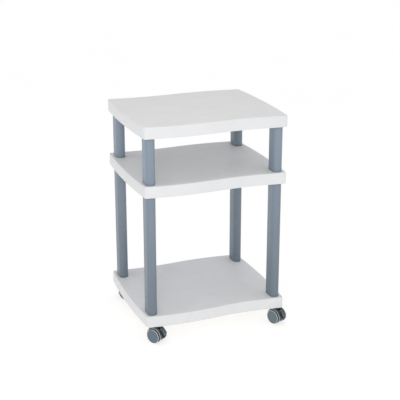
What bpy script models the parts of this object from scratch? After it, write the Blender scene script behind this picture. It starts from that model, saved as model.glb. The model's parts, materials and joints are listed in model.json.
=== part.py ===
"""A mobile printer stand: three moulded shelves on hollow posts, rolling on four twin-wheel casters.

Metres, +Z up, front towards -Y. The origin is on the floor, under the middle of the whole stand.
The two front casters have a brake lever, which is modelled pressed down.
"""

import math

import bmesh
import bpy
from mathutils import Matrix, Vector

# Driving dimensions, in metres.
STAND_HEIGHT = 0.743
SHELF_WIDTH = 0.508
SHELF_DEPTH = 0.4445
MIDDLE_SHELF_DROP = 0.1942
BOTTOM_SHELF_DROP = 0.6458
SKIRT_HEIGHT = 0.0387

# Plan outline of a shelf: sides that bow outwards, and a front and back that follow one wave.
SIDE_BOW = 0.009
WAVE_HEIGHT = 0.0068
WAVE_LENGTH = 0.437
WAVE_START = -0.007
SHELF_CORNER_RADIUS = 0.008
TOP_EDGE_RADIUS = 0.002

# Moulding thicknesses of a shelf, and the grid of ribs under its deck.
DECK_THICKNESS = 0.0035
SKIRT_WALL = 0.003
RIB_THICKNESS = 0.0025
RIB_DEPTH = 0.012
LONG_RIBS_Y = (-0.07, 0.07)
CROSS_RIBS_X = (-0.125, 0, 0.125)
BOSS_WALL = 0.003
BOSS_RECESS = 0.0015

# Posts, which are long ovals in section, and the sleeves and pegs inside their ends.
POST_WIDTH = 0.032
POST_DEPTH = 0.060
POST_CORNER_RADIUS = 0.0155
POST_WALL = 0.0025
POST_X = 0.221
FRONT_POST_Y = -0.178
BACK_POST_Y = 0.167
SLEEVE_WALL = 0.003
SLEEVE_REACH = 0.024

# The caster's socket, a flanged sleeve in a boss of the bottom shelf.
BOSS_RADIUS = 0.0125
BOSS_WEB_REACH = 0.030
BORE_ROOF = 0.002
SOCKET_RADIUS = 0.0085
SOCKET_BORE = 0.0063
SOCKET_LENGTH = 0.0295
FLANGE_RADIUS = 0.0115
FLANGE_THICKNESS = 0.0015

# The stem, and the split ring in its groove that grips the socket.
STEM_RADIUS = 0.0055
STEM_TOP = 0.087
STEM_BOTTOM = 0.0448
COLLAR_RADIUS = 0.008
GROOVE_RADIUS = 0.0045
RING_BOTTOM = 0.079
RING_HEIGHT = 0.0044
RING_SPLIT = math.radians(28)

# Wheels, axle and hood.
WHEEL_RADIUS = 0.025
WHEEL_WIDTH = 0.0145
WHEEL_STEPS = 28
WHEEL_DISH = 0.0012
WHEEL_INNER_FACE = 0.008
AXLE_RADIUS = 0.003
AXLE_END_WALL = 0.003
CASTER_TRAIL = 0.020
HOOD_CLEARANCE = 0.001
HOOD_THICKNESS = 0.0025
HOOD_HALF_WIDTH = 0.0175
HOOD_HEM = 0.007
WEB_HALF_WIDTH = 0.0074
NECK_RADIUS = 0.0085
NECK_TOP = 0.0555

# Brake lever. Its side views are drawn in metres behind the axle and above it.
BRAKE_PIVOT = (0.015, 0.017)
BRAKE_PIN_RADIUS = 0.0015
BRAKE_SLOT = (0.007, -0.003)
ARM_HALF_WIDTH = 0.0045
ARM_SIDE_VIEW = [
    (0.0115, 0.0090),
    (0.0165, 0.0110),
    (0.0195, 0.0150),
    (0.0230, 0.0192),
    (0.0295, 0.0186),
    (0.0340, 0.0168),
    (0.0345, 0.0192),
    (0.0300, 0.0225),
    (0.0240, 0.0246),
    (0.0170, 0.0252),
    (0.0115, 0.0218),
    (0.0095, 0.0125),
]
PAD_HALF_WIDTH = 0.0085
PAD_SIDE_VIEW = [
    (0.0250, 0.0196),
    (0.0300, 0.0182),
    (0.0352, 0.0158),
    (0.0362, 0.0174),
    (0.0350, 0.0196),
    (0.0305, 0.0228),
    (0.0250, 0.0246),
]

# Where the casters stand, and which way each one trails: the angle from the X axis to its axle.
CASTER_X = 0.221
CASTER_Y = 0.185
CASTER_TURNS = {
    "front_left": math.radians(35),
    "front_right": math.radians(24),
    "back_left": math.radians(62),
    "back_right": math.radians(35),
}

# Clearance between neighbours, and how far joined or cutting shapes run into each other.
GAP = 0.0003
OVERLAP = 0.001

# The trailing casters reach past the shelves, so the shelves' middle is not over the origin.
SHELVES_X = -0.0051
SHELVES_Y = 0.0088

CORNERS = {
    "front_left": (-1, -1),
    "front_right": (1, -1),
    "back_left": (-1, 1),
    "back_right": (1, 1),
}
BRAKED = ("front_left", "front_right")

AXLE_HEIGHT = WHEEL_RADIUS * math.cos(math.pi / WHEEL_STEPS)
TOP_DECK = STAND_HEIGHT
MIDDLE_DECK = STAND_HEIGHT - MIDDLE_SHELF_DROP
BOTTOM_DECK = STAND_HEIGHT - BOTTOM_SHELF_DROP
CASTER_BOSS_BOTTOM = BOTTOM_DECK - SKIRT_HEIGHT + BOSS_RECESS
FLANGE_BOTTOM = CASTER_BOSS_BOTTOM - GAP - FLANGE_THICKNESS
AXLE_CENTRE = Vector((0, -CASTER_TRAIL, AXLE_HEIGHT))
BRAKE_AXIS = AXLE_CENTRE + Vector((0, -BRAKE_PIVOT[0], BRAKE_PIVOT[1]))


# The scene


def clear_scene():
    for old in list(bpy.data.objects):
        bpy.data.objects.remove(old, do_unlink=True)


def new_collection(name):
    collection = bpy.data.collections.new(name)
    bpy.context.scene.collection.children.link(collection)
    return collection


def new_material(name, color, roughness, metallic=0.0):
    material = bpy.data.materials.new(name)
    material.use_nodes = True
    shader = material.node_tree.nodes["Principled BSDF"]
    shader.inputs["Base Color"].default_value = (*color, 1)
    shader.inputs["Roughness"].default_value = roughness
    shader.inputs["Metallic"].default_value = metallic
    material.diffuse_color = (*color, 1)
    return material


clear_scene()
PARTS = new_collection("mobile_printer_stand")
TOOLS = new_collection("boolean_tools")
TOOLS.hide_render = True

SHELF_PLASTIC = new_material("shelf_plastic", (0.80, 0.80, 0.79), 0.5)
POST_PLASTIC = new_material("post_plastic", (0.22, 0.28, 0.33), 0.45)
INNER_PLASTIC = new_material("inner_plastic", (0.05, 0.05, 0.055), 0.5)
HOOD_PLASTIC = new_material("hood_plastic", (0.06, 0.075, 0.085), 0.45)
WHEEL_PLASTIC = new_material("wheel_plastic", (0.15, 0.19, 0.23), 0.4)
STEEL = new_material("steel", (0.6, 0.6, 0.62), 0.3, 1.0)


def add_part(name, mesh, material):
    """A visible sub-part of the stand."""
    part = bpy.data.objects.new(name, mesh)
    if not mesh.materials:
        mesh.materials.append(material)
    PARTS.objects.link(part)
    return part


def add_swivel(name, location, turn):
    """An empty on a caster's upright axis, which carries what turns with it."""
    swivel = bpy.data.objects.new(name, None)
    swivel.location = location
    swivel.rotation_euler.z = turn
    swivel.empty_display_size = 0.02
    PARTS.objects.link(swivel)
    return swivel


def place(part, parent, location=(0, 0, 0), rotation=(0, 0, 0)):
    part.parent = parent
    part.location = location
    part.rotation_euler = rotation


def boolean(part, name, mesh, operation="DIFFERENCE"):
    """Joins a hidden shape to the part, or takes it away."""
    tool = bpy.data.objects.new(f"{part.name}_{name}", mesh)
    tool.hide_render = True
    tool.display_type = "WIRE"
    TOOLS.objects.link(tool)
    modifier = part.modifiers.new(name, "BOOLEAN")
    modifier.operation = operation
    modifier.solver = "EXACT"
    modifier.object = tool


def baked_mesh(part):
    """The part's mesh with its modifiers applied, for copies to share. The part itself goes."""
    bpy.context.view_layer.update()
    graph = bpy.context.evaluated_depsgraph_get()
    mesh = bpy.data.meshes.new_from_object(part.evaluated_get(graph))
    mesh.name = part.name
    bpy.data.objects.remove(part)
    return mesh


# Basic shapes


def mesh_of(bm, name):
    mesh = bpy.data.meshes.new(name)
    bm.to_mesh(mesh)
    bm.free()
    return mesh


def smooth(mesh):
    mesh.shade_smooth()
    mesh.set_sharp_from_angle(angle=math.radians(30))
    return mesh


def box(low, high):
    """A box between two opposite corners."""
    low, high = Vector(low), Vector(high)
    bm = bmesh.new()
    bmesh.ops.create_cube(bm, size=1)
    size = Matrix.Diagonal((*(high - low), 1))
    bmesh.ops.transform(bm, matrix=Matrix.Translation((low + high) / 2) @ size, verts=bm.verts)
    return mesh_of(bm, "box")


def cylinder(radius, length, centre, along="Z", steps=16):
    bm = bmesh.new()
    bmesh.ops.create_cone(
        bm, cap_ends=True, segments=steps, radius1=radius, radius2=radius, depth=length
    )
    turn = Matrix.Rotation(math.pi / 2, 4, "Y") if along == "X" else Matrix.Identity(4)
    bmesh.ops.transform(bm, matrix=Matrix.Translation(centre) @ turn, verts=bm.verts)
    return mesh_of(bm, "cylinder")


def upright(radius, low, high, x=0, y=0, steps=16):
    """An upright cylinder between two heights."""
    return cylinder(radius, high - low, (x, y, (low + high) / 2), "Z", steps)


def plate(outlines, low, high):
    """A plate between two heights. The first outline is its rim, and any others are holes."""
    curve = bpy.data.curves.new("plate", "CURVE")
    curve.dimensions = "2D"
    curve.fill_mode = "BOTH"
    curve.extrude = (high - low) / 2
    for outline in outlines:
        spline = curve.splines.new("POLY")
        spline.points.add(len(outline) - 1)
        for point, (x, y) in zip(spline.points, outline):
            point.co = (x, y, 0, 1)
        spline.use_cyclic_u = True
    guide = bpy.data.objects.new("plate", curve)
    TOOLS.objects.link(guide)
    mesh = baked_mesh(guide)
    bm = bmesh.new()
    bm.from_mesh(mesh)
    bmesh.ops.remove_doubles(bm, verts=bm.verts, dist=1e-6)
    bmesh.ops.translate(bm, vec=(0, 0, (low + high) / 2), verts=bm.verts)
    bmesh.ops.recalc_face_normals(bm, faces=bm.faces)
    bm.to_mesh(mesh)
    bm.free()
    return mesh


def side_plate(side_view, half_width):
    """A plate across a caster, from an outline in metres behind and above the axle."""
    mesh = plate([side_view], -half_width, half_width)
    # Behind, above and across become the caster's -Y, +Z and -X.
    axes = Matrix(((0, 0, -1), (-1, 0, 0), (0, 1, 0))).to_4x4()
    mesh.transform(Matrix.Translation(AXLE_CENTRE) @ axes)
    return mesh


def turned(name, profile, steps):
    """A solid turned round Z, from (radius, height) points that run down its outer side."""
    mesh = bpy.data.meshes.new(name)
    points = [(radius, 0, height) for radius, height in profile]
    mesh.from_pydata(points, [(i, i + 1) for i in range(len(points) - 1)], [])
    blank = bpy.data.objects.new(name, mesh)
    TOOLS.objects.link(blank)
    screw = blank.modifiers.new("turned", "SCREW")
    screw.steps = steps
    screw.render_steps = steps
    screw.use_merge_vertices = True
    screw.merge_threshold = 1e-5
    return smooth(baked_mesh(blank))


def rounded_rectangle(half_x, half_y, radius, arc_steps=3, side_steps=(1, 1)):
    """Points anticlockwise round a rectangle with round corners. side_steps splits its X and Y runs."""
    corners = [(1, -1, -90), (1, 1, 0), (-1, 1, 90), (-1, -1, 180)]
    arcs = []
    for sx, sy, start in corners:
        angles = [math.radians(start + 90 * step / arc_steps) for step in range(arc_steps + 1)]
        centre_x, centre_y = sx * (half_x - radius), sy * (half_y - radius)
        arcs.append(
            [(centre_x + radius * math.cos(a), centre_y + radius * math.sin(a)) for a in angles]
        )
    points = []
    for number, arc in enumerate(arcs):
        points += arc
        end = Vector(arc[-1])
        run = Vector(arcs[(number + 1) % 4][0]) - end
        steps = side_steps[1 - number % 2]
        points += [tuple(end + run * step / steps) for step in range(1, steps)]
    return points


# Shelves


def bow_at(y):
    """How far a shelf's side swells at a distance y from its middle."""
    half_y = SHELF_DEPTH / 2 - WAVE_HEIGHT
    return SIDE_BOW * (1 - (y / half_y) ** 2)


def wave_at(x):
    """How far back the front and back edges are at a distance x from the shelf's middle."""
    return WAVE_HEIGHT * math.sin(math.tau * (x - WAVE_START) / WAVE_LENGTH)


def shelf_outline(inset=0.0):
    """The plan outline of a shelf, moved in by inset."""
    half_x = SHELF_WIDTH / 2 - SIDE_BOW
    half_y = SHELF_DEPTH / 2 - WAVE_HEIGHT
    corner = SHELF_CORNER_RADIUS - inset
    rectangle = rounded_rectangle(half_x - inset, half_y - inset, corner, 3, (16, 8))
    return [
        (x + bow_at(y) * x / half_x + SHELVES_X, y + wave_at(x) + SHELVES_Y) for x, y in rectangle
    ]


def post_outline(x=0.0, y=0.0, grow=0.0):
    """A post's section round (x, y), grown all round."""
    section = rounded_rectangle(
        POST_WIDTH / 2 + grow, POST_DEPTH / 2 + grow, POST_CORNER_RADIUS + grow, 5
    )
    return [(x + px, y + py) for px, py in section]


def post_place(corner):
    """Where the posts of a corner stand."""
    side, end = CORNERS[corner]
    y = FRONT_POST_Y if end < 0 else BACK_POST_Y
    return side * POST_X + SHELVES_X, y + SHELVES_Y


def caster_place(corner):
    """Where the caster of a corner stands."""
    side, end = CORNERS[corner]
    return side * CASTER_X + SHELVES_X, end * CASTER_Y + SHELVES_Y


def round_top_edge(mesh, height):
    """Rounds the edge round the flat face at this height."""
    bm = bmesh.new()
    bm.from_mesh(mesh)
    bmesh.ops.dissolve_limit(bm, angle_limit=0.01, verts=bm.verts, edges=bm.edges)
    rim = [edge for edge in bm.edges if all(abs(v.co.z - height) < 1e-5 for v in edge.verts)]
    bmesh.ops.bevel(bm, geom=rim, offset=TOP_EDGE_RADIUS, segments=2, profile=0.5, affect="EDGES")
    bm.to_mesh(mesh)
    bm.free()


def add_ribs(shelf, deck):
    """A grid of shallow stiffening ribs under the deck, from skirt to skirt."""
    low = deck - DECK_THICKNESS - RIB_DEPTH
    high = deck - DECK_THICKNESS + OVERLAP
    half = RIB_THICKNESS / 2
    for number, y in enumerate(LONG_RIBS_Y):
        reach = SHELF_WIDTH / 2 - SIDE_BOW + bow_at(y) - SKIRT_WALL / 2
        near = (SHELVES_X - reach, SHELVES_Y + y - half, low)
        far = (SHELVES_X + reach, SHELVES_Y + y + half, high)
        boolean(shelf, f"long_rib_{number}", box(near, far), "UNION")
    for number, x in enumerate(CROSS_RIBS_X):
        reach = SHELF_DEPTH / 2 - WAVE_HEIGHT - SKIRT_WALL / 2
        middle = SHELVES_Y + wave_at(x)
        near = (SHELVES_X + x - half, middle - reach, low)
        far = (SHELVES_X + x + half, middle + reach, high)
        boolean(shelf, f"cross_rib_{number}", box(near, far), "UNION")


def make_shelf(name, deck):
    """An upturned tray: a deck, a skirt round it and ribs under it."""
    body = plate([shelf_outline()], deck - SKIRT_HEIGHT, deck)
    round_top_edge(body, deck)
    shelf = add_part(name, smooth(body), SHELF_PLASTIC)
    low = deck - SKIRT_HEIGHT - OVERLAP
    boolean(shelf, "hollow", plate([shelf_outline(SKIRT_WALL)], low, deck - DECK_THICKNESS))
    add_ribs(shelf, deck)
    return shelf


def add_post_socket(shelf, corner, deck):
    """A socket under the deck for the top end of a post."""
    x, y = post_place(corner)
    low = deck - SKIRT_HEIGHT + BOSS_RECESS
    high = deck - DECK_THICKNESS
    boss = plate([post_outline(x, y, GAP + BOSS_WALL)], low, high + OVERLAP)
    socket = plate([post_outline(x, y, GAP)], low - OVERLAP, high)
    boolean(shelf, f"boss_{corner}", boss, "UNION")
    boolean(shelf, f"socket_{corner}", socket)


def add_sleeve_hole(shelf, corner, deck):
    """A hole through the deck for the sleeve that joins two posts."""
    section = post_outline(*post_place(corner), -POST_WALL)
    hole = plate([section], deck - DECK_THICKNESS - OVERLAP, deck + OVERLAP)
    boolean(shelf, f"sleeve_hole_{corner}", hole)


def add_peg(shelf, corner, deck):
    """A hollow peg on the deck, open at the top, that a post slides over."""
    x, y = post_place(corner)
    grow = -POST_WALL - GAP
    peg = plate([post_outline(x, y, grow)], deck - OVERLAP, deck + SLEEVE_REACH)
    inside = post_outline(x, y, grow - SLEEVE_WALL)
    boolean(shelf, f"peg_{corner}", peg, "UNION")
    boolean(
        shelf,
        f"peg_hollow_{corner}",
        plate([inside], deck + OVERLAP, deck + SLEEVE_REACH + OVERLAP),
    )


def add_caster_boss(shelf, corner, deck):
    """A round boss under the deck with a blind bore for the caster's socket, webbed to the skirt."""
    x, y = caster_place(corner)
    side, end = CORNERS[corner]
    low = CASTER_BOSS_BOTTOM
    high = deck - DECK_THICKNESS + OVERLAP
    boolean(shelf, f"boss_{corner}", upright(BOSS_RADIUS, low, high, x, y, 20), "UNION")
    half = RIB_THICKNESS / 2
    skirt_x = side * (SHELF_WIDTH / 2 - SIDE_BOW) + SHELVES_X
    skirt_y = end * (SHELF_DEPTH / 2 - WAVE_HEIGHT - SKIRT_WALL) + SHELVES_Y
    web_low = low + BOSS_RECESS
    runs = {
        "side_web": (sorted((x - side * BOSS_WEB_REACH, skirt_x)), (y - half, y + half)),
        "end_web": ((x - half, x + half), sorted((y - end * BOSS_WEB_REACH, skirt_y))),
    }
    for name, (across, along) in runs.items():
        web = box((across[0], along[0], web_low), (across[1], along[1], high))
        boolean(shelf, f"{name}_{corner}", web, "UNION")
    roof = deck - DECK_THICKNESS - BORE_ROOF
    bore = upright(SOCKET_RADIUS + GAP, low - OVERLAP, roof, x, y)
    boolean(shelf, f"bore_{corner}", bore)


def make_shelves():
    top = make_shelf("top_shelf", TOP_DECK)
    middle = make_shelf("middle_shelf", MIDDLE_DECK)
    bottom = make_shelf("bottom_shelf", BOTTOM_DECK)
    for corner in CORNERS:
        add_post_socket(top, corner, TOP_DECK)
        add_post_socket(middle, corner, MIDDLE_DECK)
        add_sleeve_hole(middle, corner, MIDDLE_DECK)
        add_peg(bottom, corner, BOTTOM_DECK)
        add_caster_boss(bottom, corner, BOTTOM_DECK)


# Posts


def make_posts():
    """Each post stands on a deck and ends in the socket under the shelf above."""
    spans = {
        "upper_post": (MIDDLE_DECK + GAP, TOP_DECK - DECK_THICKNESS - GAP),
        "lower_post": (BOTTOM_DECK + GAP, MIDDLE_DECK - DECK_THICKNESS - GAP),
    }
    for kind, (low, high) in spans.items():
        mesh = smooth(plate([post_outline(), post_outline(grow=-POST_WALL)], 0, high - low))
        for corner in CORNERS:
            post = add_part(f"{kind}_{corner}", mesh, POST_PLASTIC)
            post.location = (*post_place(corner), low)


def make_post_sleeves():
    """Sleeves through the middle shelf that join each upper post to the lower one."""
    low = MIDDLE_DECK - DECK_THICKNESS - SLEEVE_REACH
    grow = -POST_WALL - GAP
    rings = [post_outline(grow=grow), post_outline(grow=grow - SLEEVE_WALL)]
    mesh = smooth(plate(rings, 0, MIDDLE_DECK + SLEEVE_REACH - low))
    for corner in CORNERS:
        sleeve = add_part(f"post_sleeve_{corner}", mesh, INNER_PLASTIC)
        sleeve.location = (*post_place(corner), low)


# Casters. A caster's own axes: axle along X, trailing towards -Y, stem on the Z axis.


def socket_mesh():
    top = FLANGE_BOTTOM + SOCKET_LENGTH
    flange_top = FLANGE_BOTTOM + FLANGE_THICKNESS
    profile = [
        (SOCKET_BORE, top),
        (SOCKET_RADIUS, top),
        (SOCKET_RADIUS, flange_top),
        (FLANGE_RADIUS, flange_top),
        (FLANGE_RADIUS, FLANGE_BOTTOM),
        (SOCKET_BORE, FLANGE_BOTTOM),
        (SOCKET_BORE, top),
    ]
    return turned("caster_socket", profile, 16)


def grip_ring_mesh():
    """A ring with a gap in it, between the stem's groove and the socket's bore."""
    steps = 12
    sweep = math.tau - RING_SPLIT
    angles = [RING_SPLIT / 2 + sweep * step / steps for step in range(steps + 1)]
    outer = [(math.cos(a) * (SOCKET_BORE - GAP), math.sin(a) * (SOCKET_BORE - GAP)) for a in angles]
    inner = [
        (math.cos(a) * (GROOVE_RADIUS + GAP), math.sin(a) * (GROOVE_RADIUS + GAP))
        for a in reversed(angles)
    ]
    return smooth(plate([outer + inner], RING_BOTTOM, RING_BOTTOM + RING_HEIGHT))


def stem_mesh():
    ring_top = RING_BOTTOM + RING_HEIGHT + GAP
    ring_low = RING_BOTTOM - GAP
    dome = 0.3 * STEM_RADIUS
    profile = [
        (0, STEM_TOP),
        (STEM_RADIUS - dome, STEM_TOP),
        (STEM_RADIUS, STEM_TOP - dome),
        (STEM_RADIUS, ring_top),
        (GROOVE_RADIUS, ring_top),
        (GROOVE_RADIUS, ring_low),
        (STEM_RADIUS, ring_low),
        (STEM_RADIUS, FLANGE_BOTTOM - GAP),
        (COLLAR_RADIUS, FLANGE_BOTTOM - GAP),
        (COLLAR_RADIUS, NECK_TOP + GAP),
        (STEM_RADIUS, NECK_TOP + GAP),
        (STEM_RADIUS, STEM_BOTTOM),
        (0, STEM_BOTTOM),
    ]
    return turned("caster_stem", profile, 14)


def housing_mesh(braked):
    """The hood over both wheels, the web between them and the neck that holds the stem."""
    cavity_radius = WHEEL_RADIUS + HOOD_CLEARANCE
    hood = cylinder(cavity_radius + HOOD_THICKNESS, 2 * HOOD_HALF_WIDTH, AXLE_CENTRE, "X", 32)
    kind = "braked" if braked else "plain"
    housing = add_part(f"{kind}_housing", hood, HOOD_PLASTIC)
    boolean(housing, "neck", upright(NECK_RADIUS, AXLE_HEIGHT, NECK_TOP, steps=20), "UNION")
    cavity_length = HOOD_HALF_WIDTH - WEB_HALF_WIDTH + OVERLAP
    for side in (-1, 1):
        middle = AXLE_CENTRE + Vector((side * (WEB_HALF_WIDTH + cavity_length / 2), 0, 0))
        cavity = cylinder(cavity_radius, cavity_length, middle, "X", 32)
        boolean(housing, f"wheel_cavity_{side}", cavity)
    below = 2 * WHEEL_RADIUS
    hem = AXLE_HEIGHT - HOOD_HEM
    boolean(housing, "hem", box((-below, -3 * below, -below), (below, below, hem)))
    boolean(housing, "stem_bore", upright(STEM_RADIUS + GAP, STEM_BOTTOM - GAP, NECK_TOP + OVERLAP))
    through = 4 * WEB_HALF_WIDTH
    boolean(housing, "axle_hole", cylinder(AXLE_RADIUS + GAP, through, AXLE_CENTRE, "X"))
    if braked:
        behind, bottom = BRAKE_SLOT
        half = ARM_HALF_WIDTH + 2 * GAP
        near = (-half, -3 * below, AXLE_HEIGHT + bottom)
        far = (half, AXLE_CENTRE.y - behind, 2 * below)
        boolean(housing, "brake_slot", box(near, far))
        pin_hole = cylinder(BRAKE_PIN_RADIUS + GAP, through, BRAKE_AXIS, "X", 12)
        boolean(housing, "pin_hole", pin_hole)
    return smooth(baked_mesh(housing))


def brake_lever_mesh():
    """The brake lever, about the middle of its pin."""
    arm = side_plate(ARM_SIDE_VIEW, ARM_HALF_WIDTH)
    lever = add_part("lever", arm, HOOD_PLASTIC)
    boolean(lever, "pad", side_plate(PAD_SIDE_VIEW, PAD_HALF_WIDTH), "UNION")
    pin_hole = cylinder(BRAKE_PIN_RADIUS + GAP, 4 * ARM_HALF_WIDTH, BRAKE_AXIS, "X", 12)
    boolean(lever, "pin_hole", pin_hole)
    mesh = baked_mesh(lever)
    mesh.transform(Matrix.Translation(-BRAKE_AXIS))
    return smooth(mesh)


def wheel_mesh():
    """One wheel, turned about its axle: inner face at height 0, blind bore, dished outer face up."""
    radius, width = WHEEL_RADIUS, WHEEL_WIDTH
    bore = AXLE_RADIUS + GAP
    profile = [
        (0, width - WHEEL_DISH),
        (0.74 * radius, width - WHEEL_DISH),
        (0.80 * radius, width),
        (0.93 * radius, width),
        (radius, width - 0.07 * radius),
        (radius, 0.06 * radius),
        (0.94 * radius, 0),
        (bore, 0),
        (bore, width - AXLE_END_WALL),
        (0, width - AXLE_END_WALL),
    ]
    mesh = turned("wheel", profile, WHEEL_STEPS)
    # Half a step round, so that a flat of the tread is on the floor.
    mesh.transform(Matrix.Rotation(math.pi / WHEEL_STEPS, 4, "Z"))
    return mesh


def make_casters():
    """Four casters, each swung its own way on its stem."""
    socket, ring, stem, wheel = socket_mesh(), grip_ring_mesh(), stem_mesh(), wheel_mesh()
    housings = {braked: housing_mesh(braked) for braked in (True, False)}
    axle_length = 2 * (WHEEL_INNER_FACE + WHEEL_WIDTH - AXLE_END_WALL - GAP)
    axle = smooth(cylinder(AXLE_RADIUS, axle_length, (0, 0, 0), "X"))
    pin_length = 2 * (WEB_HALF_WIDTH - GAP)
    pin = smooth(cylinder(BRAKE_PIN_RADIUS, pin_length, (0, 0, 0), "X", 12))
    lever = brake_lever_mesh()
    for corner in CORNERS:
        braked = corner in BRAKED
        foot = (*caster_place(corner), 0)
        add_part(f"caster_socket_{corner}", socket, INNER_PLASTIC).location = foot
        add_part(f"grip_ring_{corner}", ring, STEEL).location = foot
        swivel = add_swivel(f"swivel_{corner}", foot, CASTER_TURNS[corner])
        place(add_part(f"caster_stem_{corner}", stem, STEEL), swivel)
        place(add_part(f"caster_housing_{corner}", housings[braked], HOOD_PLASTIC), swivel)
        place(add_part(f"axle_{corner}", axle, STEEL), swivel, AXLE_CENTRE)
        for side, name in ((-1, "left"), (1, "right")):
            inner_face = AXLE_CENTRE + Vector((side * WHEEL_INNER_FACE, 0, 0))
            part = add_part(f"{name}_wheel_{corner}", wheel, WHEEL_PLASTIC)
            place(part, swivel, inner_face, (0, side * math.pi / 2, 0))
        if braked:
            place(add_part(f"brake_pin_{corner}", pin, STEEL), swivel, BRAKE_AXIS)
            place(add_part(f"brake_lever_{corner}", lever, HOOD_PLASTIC), swivel, BRAKE_AXIS)


make_shelves()
make_posts()
make_post_sleeves()
make_casters()
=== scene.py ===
"""The looks of the mobile printer stand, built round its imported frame. Metres, +Z up, front towards -Y."""

import json
import math

import bmesh
import bpy
from mathutils import Matrix, Vector


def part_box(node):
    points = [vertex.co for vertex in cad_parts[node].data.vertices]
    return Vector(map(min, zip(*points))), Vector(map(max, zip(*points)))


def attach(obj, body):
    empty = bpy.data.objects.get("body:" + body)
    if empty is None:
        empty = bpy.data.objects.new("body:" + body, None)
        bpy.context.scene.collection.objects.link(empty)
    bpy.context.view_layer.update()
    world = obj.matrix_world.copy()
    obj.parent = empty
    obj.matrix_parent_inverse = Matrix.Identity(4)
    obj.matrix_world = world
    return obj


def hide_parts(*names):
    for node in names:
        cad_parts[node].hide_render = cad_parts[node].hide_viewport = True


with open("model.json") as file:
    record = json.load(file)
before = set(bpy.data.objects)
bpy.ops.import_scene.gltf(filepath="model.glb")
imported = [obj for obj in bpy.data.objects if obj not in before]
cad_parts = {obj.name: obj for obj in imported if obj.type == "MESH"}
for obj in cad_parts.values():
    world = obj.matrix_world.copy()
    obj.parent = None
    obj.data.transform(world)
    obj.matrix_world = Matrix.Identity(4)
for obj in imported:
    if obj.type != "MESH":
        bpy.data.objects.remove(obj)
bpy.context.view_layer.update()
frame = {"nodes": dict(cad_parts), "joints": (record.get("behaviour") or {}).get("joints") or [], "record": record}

RECORD = frame["record"]
JOINTS = {joint["name"]: joint for joint in frame["joints"]}
BODY_OF = {node: body for body, nodes in RECORD["behaviour"]["bodies"].items() for node in nodes}
SLOT_OF = {part["node"]: part["material_slot"] for part in RECORD["subparts"]}

# The clearance between neighbouring parts, how far tools overlap in a Boolean, and the finest edge rounding.
GAP = 0.0003
OVERLAP = 0.001
FINE_EDGE = 0.0003
# Points this near to each other are one point.
MERGE = 1e-6

# The frame's own places: each corner's caster and posts, the shelves' middle and their decks.
CORNERS = {
    "front_left": (-1, -1),
    "front_right": (1, -1),
    "back_left": (-1, 1),
    "back_right": (1, 1),
}
BRAKED = ("front_left", "front_right")
FEET = {corner: Vector(JOINTS[f"swivel_{corner}"]["pos_m"]).xy for corner in CORNERS}
POSTS = {corner: sum(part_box(f"lower_post_{corner}"), Vector()).xy / 2 for corner in CORNERS}
MIDDLE = sum(FEET.values(), Vector((0, 0))) / len(FEET)
TOP_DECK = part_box("top_shelf")[1].z
MIDDLE_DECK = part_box("upper_post_front_left")[0].z - GAP
BOTTOM_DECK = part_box("lower_post_front_left")[0].z - GAP

# Shelf mouldings
SHELF_WIDTH = 0.508
SHELF_DEPTH = 0.4445
SKIRT_HEIGHT = TOP_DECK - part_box("top_shelf")[0].z
SIDE_BOW = 0.009
WAVE_HEIGHT = 0.0068
WAVE_LENGTH = 0.437
WAVE_START = -0.007
SHELF_HALF_X = SHELF_WIDTH / 2 - SIDE_BOW
SHELF_HALF_Y = SHELF_DEPTH / 2 - WAVE_HEIGHT
SHELF_CORNER_RADIUS = 0.008
SHELF_ARC_STEPS = 10
SHELF_SIDE_STEPS = (56, 36)
TOP_EDGE_RADIUS = 0.002
HEM_RADIUS = 0.0009
SKIRT_DRAFT = 0.0004
SKIRT_WALL = 0.003
DECK_THICKNESS = 0.0035
INNER_FILLET = 0.002
DECK_MARGIN = 0.001
RIB_DEPTH = 0.012
RIB_ROOT = 0.0014
RIB_TIP = 0.0009
RIB_FLARE = 0.0012
RIB_LAP = 0.0002
LONG_RIBS_Y = (-0.07, 0.07)
CROSS_RIBS_X = (-0.125, 0, 0.125)
BOSS_RECESS = 0.0015
BOSS_WALL = 0.003
# How far a boss is drawn in at its foot, and how much it opens by its top.
POST_BOSS_TAPER = (0.0004, 0.0006)
CASTER_BOSS_TAPER = (0.0005, 0.0008)

# Posts
POST_WIDTH = 0.032
POST_DEPTH = 0.060
POST_CORNER_RADIUS = 0.0155
POST_WALL = 0.0025
POST_CHAMFER = 0.0004
SLEEVE_WALL = 0.003
SLEEVE_REACH = 0.024

# Casters. A brake's places are lengths behind and above the wheels' axle.
CASTER_BOSS_RADIUS = 0.0125
BOSS_WEB_REACH = 0.030
BORE_ROOF = 0.002
SOCKET_RADIUS = 0.0085
SOCKET_WALL = 0.0022
SOCKET_FLANGE = 0.0015
WHEEL_WIDTH = 0.0145
WHEEL_INNER_FACE = 0.008
AXLE_RADIUS = 0.003
AXLE_END_WALL = 0.003
WHEEL_DISC_SHARE = 0.9
WHEEL_RIM_SHARE = 0.95
HOOD_RADIUS = 0.0285
HOOD_THICKNESS = 0.0025
HOOD_BEAD = 0.0007
HOOD_BEAD_WIDTH = 0.0022
HOOD_HALF_WIDTH = 0.0175
HOOD_HEM = 0.007
HOOD_HEM_EDGE = 0.0005
WEB_HALF_WIDTH = 0.0074
NECK_RADIUS = 0.0085
NECK_TOP = 0.0555
NECK_STEP_WIDTH = 0.0016
NECK_STEP_DROP = 0.0022
STEM_RADIUS = 0.0055
STEM_BOTTOM = 0.0448
COLLAR_RADIUS = 0.008
GROOVE_RADIUS = 0.0045
BRAKE_PIVOT = (0.015, 0.017)
BRAKE_PIN_RADIUS = 0.0015
BRAKE_SLOT = (0.007, -0.003)
ARM_HALF_WIDTH = 0.0045
PAD_HALF_WIDTH = 0.0085
ARM_EDGE = 0.0006
PAD_EDGE = 0.001
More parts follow.
